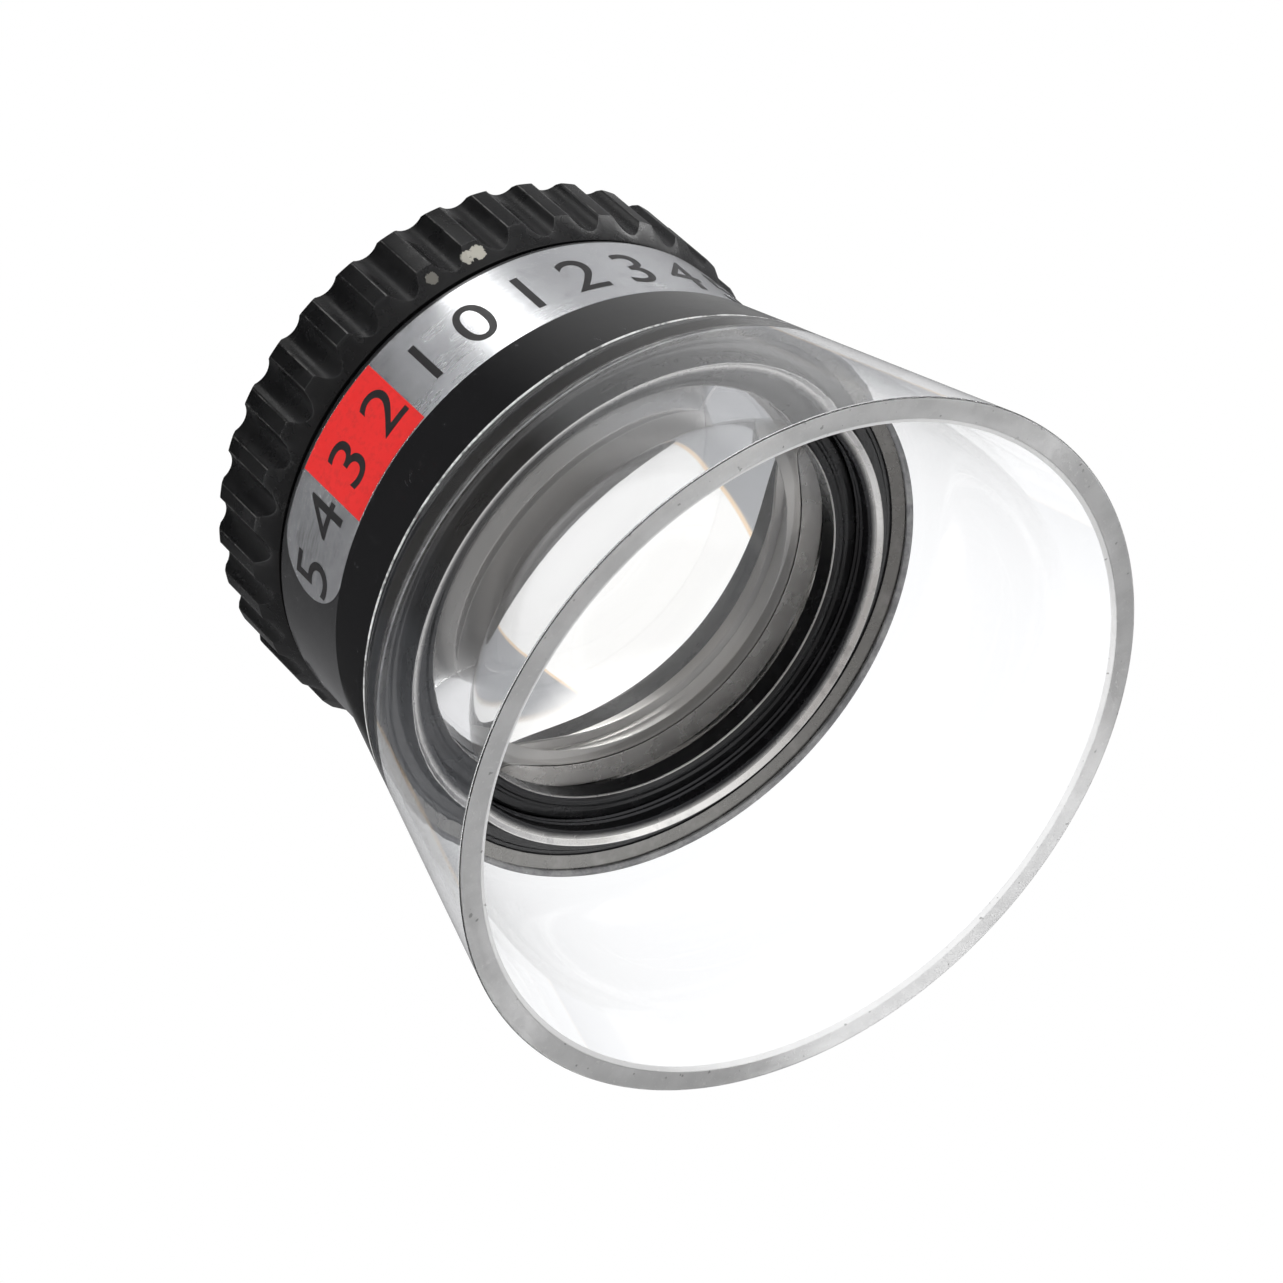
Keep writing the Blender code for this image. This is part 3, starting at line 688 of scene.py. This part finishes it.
def lens(name, edge_r, z0, z1, bottom, top, node):
    pts = []
    steps = 36
    for i in range(steps + 1):
        r = edge_r * i / steps
        pts.append((r, z0 - sag(edge_r, bottom) + sag(r, bottom)))
    for i in range(steps, -1, -1):
        r = edge_r * i / steps
        pts.append((r, z1 + sag(edge_r, top) - sag(r, top)))
    obj = to_object(name, lathe_bm(pts, 192), [LENS], 25.0)
    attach(obj, "lens_cell")
    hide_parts(node)
    return obj


lens("field_lens_glass", 13.3, 18.4, 19.8, 50.0, 24.0, "field_lens")
lens("eye_lens_glass", 11.6, 27.3, 28.6, 24.0, 60.0, "eye_lens")

spacer = lathe("spacer_turned", [
    (10.95, 21.34, 0.04), (11.84, 21.34, 0.03), (11.84, 26.6, 0.03), (10.95, 26.6, 0.04), (10.95, 25.2, 0.04),
    (11.2, 25.2, 0.04), (11.2, 23.3, 0.04), (10.95, 23.3, 0.04)], [BAFFLE], seg=256, steps=3)
stop = lathe("stop_turned", [(10.3, 23.95, 0.02), (10.4, 23.85, 0.02), (10.85, 23.85, 0.02), (10.85, 24.25, 0.02), (10.4, 24.25, 0.02), (10.3, 24.15, 0.02)], [BAFFLE], seg=256, steps=3)
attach(stop, "lens_cell")
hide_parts("aperture_stop")
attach(spacer, "lens_cell")
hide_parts("lens_spacer")

# ------------------------------------------------------------------ pieces that keep their CAD shape
for node, material in (("snap_wire", STEEL), ("bore_o_ring", RUBBER), ("thrust_washer", PTFE), ("guide_screw_left", SCREW),
                       ("guide_screw_right", SCREW)):
    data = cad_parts[node].data
    data.materials.clear()
    data.materials.append(material)

# ------------------------------------------------------------------ camera
camera_data = bpy.data.cameras.new("camera")
camera_data.lens = 154.3258
camera_data.sensor_width = 36.0
camera_data.clip_start = 0.01
camera_data.clip_end = 50.0
camera = bpy.data.objects.new("camera", camera_data)
bpy.context.scene.collection.objects.link(camera)
camera.matrix_world = Matrix((
    (0.799742, 0.563668, -0.206617, -0.065775),
    (0.285499, -0.659848, -0.695048, -0.215141),
    (-0.528112, 0.496870, -0.688635, -0.198727),
    (0.0, 0.0, 0.0, 1.0)))
bpy.context.scene.camera = camera
AHEAD = Vector((0.206617, 0.695048, 0.688635))

# ------------------------------------------------------------------ floor, world and lights
floor_mesh = bpy.data.meshes.new("floor")
bm = bmesh.new()
bmesh.ops.create_circle(bm, cap_ends=True, radius=4.0, segments=96)
bm.to_mesh(floor_mesh)
bm.free()
floor = bpy.data.objects.new("floor", floor_mesh)
bpy.context.scene.collection.objects.link(floor)
floor.location = (0.0, 0.0, -0.6)
paper = bpy.data.materials.new("pale_paper")
paper.use_nodes = True
paper.node_tree.nodes["Principled BSDF"].inputs["Base Color"].default_value = (0.9, 0.9, 0.9, 1.0)
paper.node_tree.nodes["Principled BSDF"].inputs["Roughness"].default_value = 0.9
floor_mesh.materials.append(paper)
floor.visible_glossy = floor.visible_transmission = floor.visible_diffuse = False

world = bpy.data.worlds.new("studio")
bpy.context.scene.world = world
world.use_nodes = True
nt = world.node_tree
background = nt.nodes["Background"]
coord = nt.nodes.new("ShaderNodeTexCoord")
norm = nt.nodes.new("ShaderNodeVectorMath")
norm.operation = "NORMALIZE"
nt.links.new(coord.outputs["Generated"], norm.inputs[0])


def lobe(direction, cos_lo, cos_hi, low, high):
    """Brightness that goes smoothly from low, away from a direction, to high, near it."""
    dot = nt.nodes.new("ShaderNodeVectorMath")
    dot.operation = "DOT_PRODUCT"
    nt.links.new(norm.outputs[0], dot.inputs[0])
    dot.inputs[1].default_value = Vector(direction).normalized()
    r = nt.nodes.new("ShaderNodeMapRange")
    r.interpolation_type = "SMOOTHSTEP"
    r.inputs["From Min"].default_value = cos_lo
    r.inputs["From Max"].default_value = cos_hi
    r.inputs["To Min"].default_value = low
    r.inputs["To Max"].default_value = high
    nt.links.new(dot.outputs["Value"], r.inputs["Value"])
    return r.outputs["Result"]


def combine(op, a, b):
    n = nt.nodes.new("ShaderNodeMath")
    n.operation = op
    for i, v in enumerate((a, b)):
        if isinstance(v, (int, float)):
            n.inputs[i].default_value = v
        else:
            nt.links.new(v, n.inputs[i])
    return n.outputs[0]


def ramp(value, lo, hi, low=0.0, high=1.0):
    r = nt.nodes.new("ShaderNodeMapRange")
    r.interpolation_type = "SMOOTHSTEP"
    for key, v in (("From Min", lo), ("From Max", hi), ("To Min", low), ("To Max", high)):
        r.inputs[key].default_value = v
    nt.links.new(value, r.inputs["Value"])
    return r.outputs["Result"]


def blend(fac, a, b):
    n = nt.nodes.new("ShaderNodeMix")
    n.data_type = "RGBA"
    nt.links.new(fac, n.inputs["Factor"])
    for sock, v in ((n.inputs[6], a), (n.inputs[7], b)):
        if isinstance(v, tuple):
            sock.default_value = (*v, 1.0)
        else:
            nt.links.new(v, sock)
    return n.outputs[2]


split = nt.nodes.new("ShaderNodeSeparateXYZ")
nt.links.new(norm.outputs[0], split.inputs[0])
wx, wy, wz = split.outputs

# walls of the studio as a polished surface sees them: brightness by compass direction
turn = combine("ADD", combine("MULTIPLY", combine("ARCTAN2", wy, wx), 0.5 / math.pi), 0.5)
walls = nt.nodes.new("ShaderNodeValToRGB")
nt.links.new(turn, walls.inputs["Fac"])
marks = [(-180.0, 0.34), (-163.0, 0.40), (-133.0, 0.20), (-118.0, 0.26), (-103.0, 0.52), (-83.0, 0.70), (-53.0, 0.80), (-30.0, 0.42),
         (-13.0, 0.55), (17.0, 0.52), (44.0, 0.28), (75.0, 0.20), (100.0, 0.28), (150.0, 0.32), (180.0, 0.34)]
ramp_points = walls.color_ramp.elements
while len(ramp_points) < len(marks):
    ramp_points.new(0.5)
for point, (deg, value) in zip(ramp_points, marks):
    point.position = deg / 360.0 + 0.5
for point, (deg, value) in zip(ramp_points, marks):
    point.color = (value, value, value * 1.02, 1.0)
ground = blend(ramp(wx, -0.6, 0.8), (0.50, 0.48, 0.475), (1.65, 1.65, 1.65))
low_wall = blend(ramp(wz, -0.33, -0.12), ground, walls.outputs["Color"])
high = ramp(wx, 0.05, 0.55, 0.03, 0.42)
overhead = nt.nodes.new("ShaderNodeCombineXYZ")
for i in range(3):
    nt.links.new(high, overhead.inputs[i])
polished = blend(ramp(wz, 0.70, 0.77), low_wall, overhead.outputs[0])
strip = combine("MULTIPLY", combine("MULTIPLY", ramp(wz, 0.17, 0.20), ramp(wz, 0.31, 0.28)), ramp(wy, 0.25, 0.05))
polished = blend(strip, polished, (12.0, 12.0, 12.0))           # long tube lamp low on the camera's side
polished = blend(lobe((0.34, -0.64, 0.69), 0.975, 0.995, 0.0, 1.0), polished, (1.05, 1.05, 1.04))

# bright window as the lenses see it, between two blue-grey reveals
left_side = combine("SUBTRACT", wx, combine("MULTIPLY", wy, 0.55))
above = ramp(wz, 0.28, 0.36)
shelf = combine("MULTIPLY", ramp(wy, 0.13, 0.19), above)
side_window = combine("MULTIPLY", ramp(wy, 0.15, 0.22), ramp(wx, -0.78, -0.66))
right_fringe = combine("MULTIPLY", combine("MULTIPLY", ramp(wx, -0.345, -0.355), ramp(wz, 0.45, 0.55)), side_window)
right_reveal = ramp(wx, -0.36, -0.375)
fringe = combine("MAXIMUM", right_fringe, combine("MULTIPLY", ramp(left_side, 0.368, 0.374), shelf))
reveal = combine("MAXIMUM", right_reveal, combine("MULTIPLY", ramp(left_side, 0.378, 0.388), shelf))
clear = blend(combine("MULTIPLY", fringe, above), (1.1, 1.1, 1.1), (1.0, 0.80, 0.60))
clear = blend(combine("MULTIPLY", reveal, above), clear, (0.43, 0.44, 0.465))
clear = blend(combine("MULTIPLY", ramp(wy, -0.02, -0.28), ramp(wz, -0.6, -0.4)), clear, (0.36, 0.345, 0.33))
clear = blend(combine("MULTIPLY", combine("MULTIPLY", ramp(wx, -0.36, -0.60), ramp(wy, 0.12, -0.02)), ramp(wz, 0.45, 0.60)), clear, (0.17, 0.165, 0.16))
clear = blend(ramp(wz, -0.70, -0.82), clear, (0.24, 0.24, 0.24))
clear = blend(combine("MULTIPLY", ramp(wz, 0.26, 0.12), ramp(wz, -0.32, -0.20)), clear, (0.66, 0.66, 0.68))
clear = blend(lobe((-0.67, -0.13, -0.73), 0.90, 0.955, 0.0, 1.0), clear, (0.30, 0.31, 0.33))
clear = blend(lobe((0.43, -0.18, 0.88), 0.86, 0.97, 0.0, 1.0), clear, (1.3, 1.3, 1.3))
clear = blend(lobe((0.56, -0.42, 0.72), 0.966, 0.992, 0.0, 1.0), clear, (6.0, 6.0, 5.9))

path = nt.nodes.new("ShaderNodeLightPath")
colour = blend(path.outputs["Is Diffuse Ray"], polished, (0.95, 0.95, 0.95))
colour = blend(path.outputs["Is Transmission Ray"], colour, clear)
colour = blend(path.outputs["Is Camera Ray"], colour, (1.0, 1.0, 1.0))
nt.links.new(colour, background.inputs["Color"])
background.inputs["Strength"].default_value = 1.0
world.cycles.sampling_method = "NONE"


def softbox(name, direction, distance, size, power, colour=(1.0, 1.0, 1.0)):
    data = bpy.data.lights.new(name, "AREA")
    data.shape = "DISK"
    data.size = size
    data.energy = power
    data.color = colour
    obj = bpy.data.objects.new(name, data)
    bpy.context.scene.collection.objects.link(obj)
    d = Vector(direction).normalized()
    obj.location = Vector((0.0, 0.0, 0.018)) + d * distance
    obj.rotation_euler = d.to_track_quat("Z", "Y").to_euler()
    obj.visible_camera = False
    return obj


softbox("lamp", (0.32, -0.65, 0.69), 0.6, 0.16, 0.10)

scene = bpy.context.scene
scene.view_settings.view_transform = "Standard"
scene.view_settings.look = "None"
scene.cycles.max_bounces = 24
scene.cycles.transmission_bounces = 24
scene.cycles.glossy_bounces = 8
scene.cycles.transparent_max_bounces = 16
scene.cycles.sample_clamp_indirect = 12.0
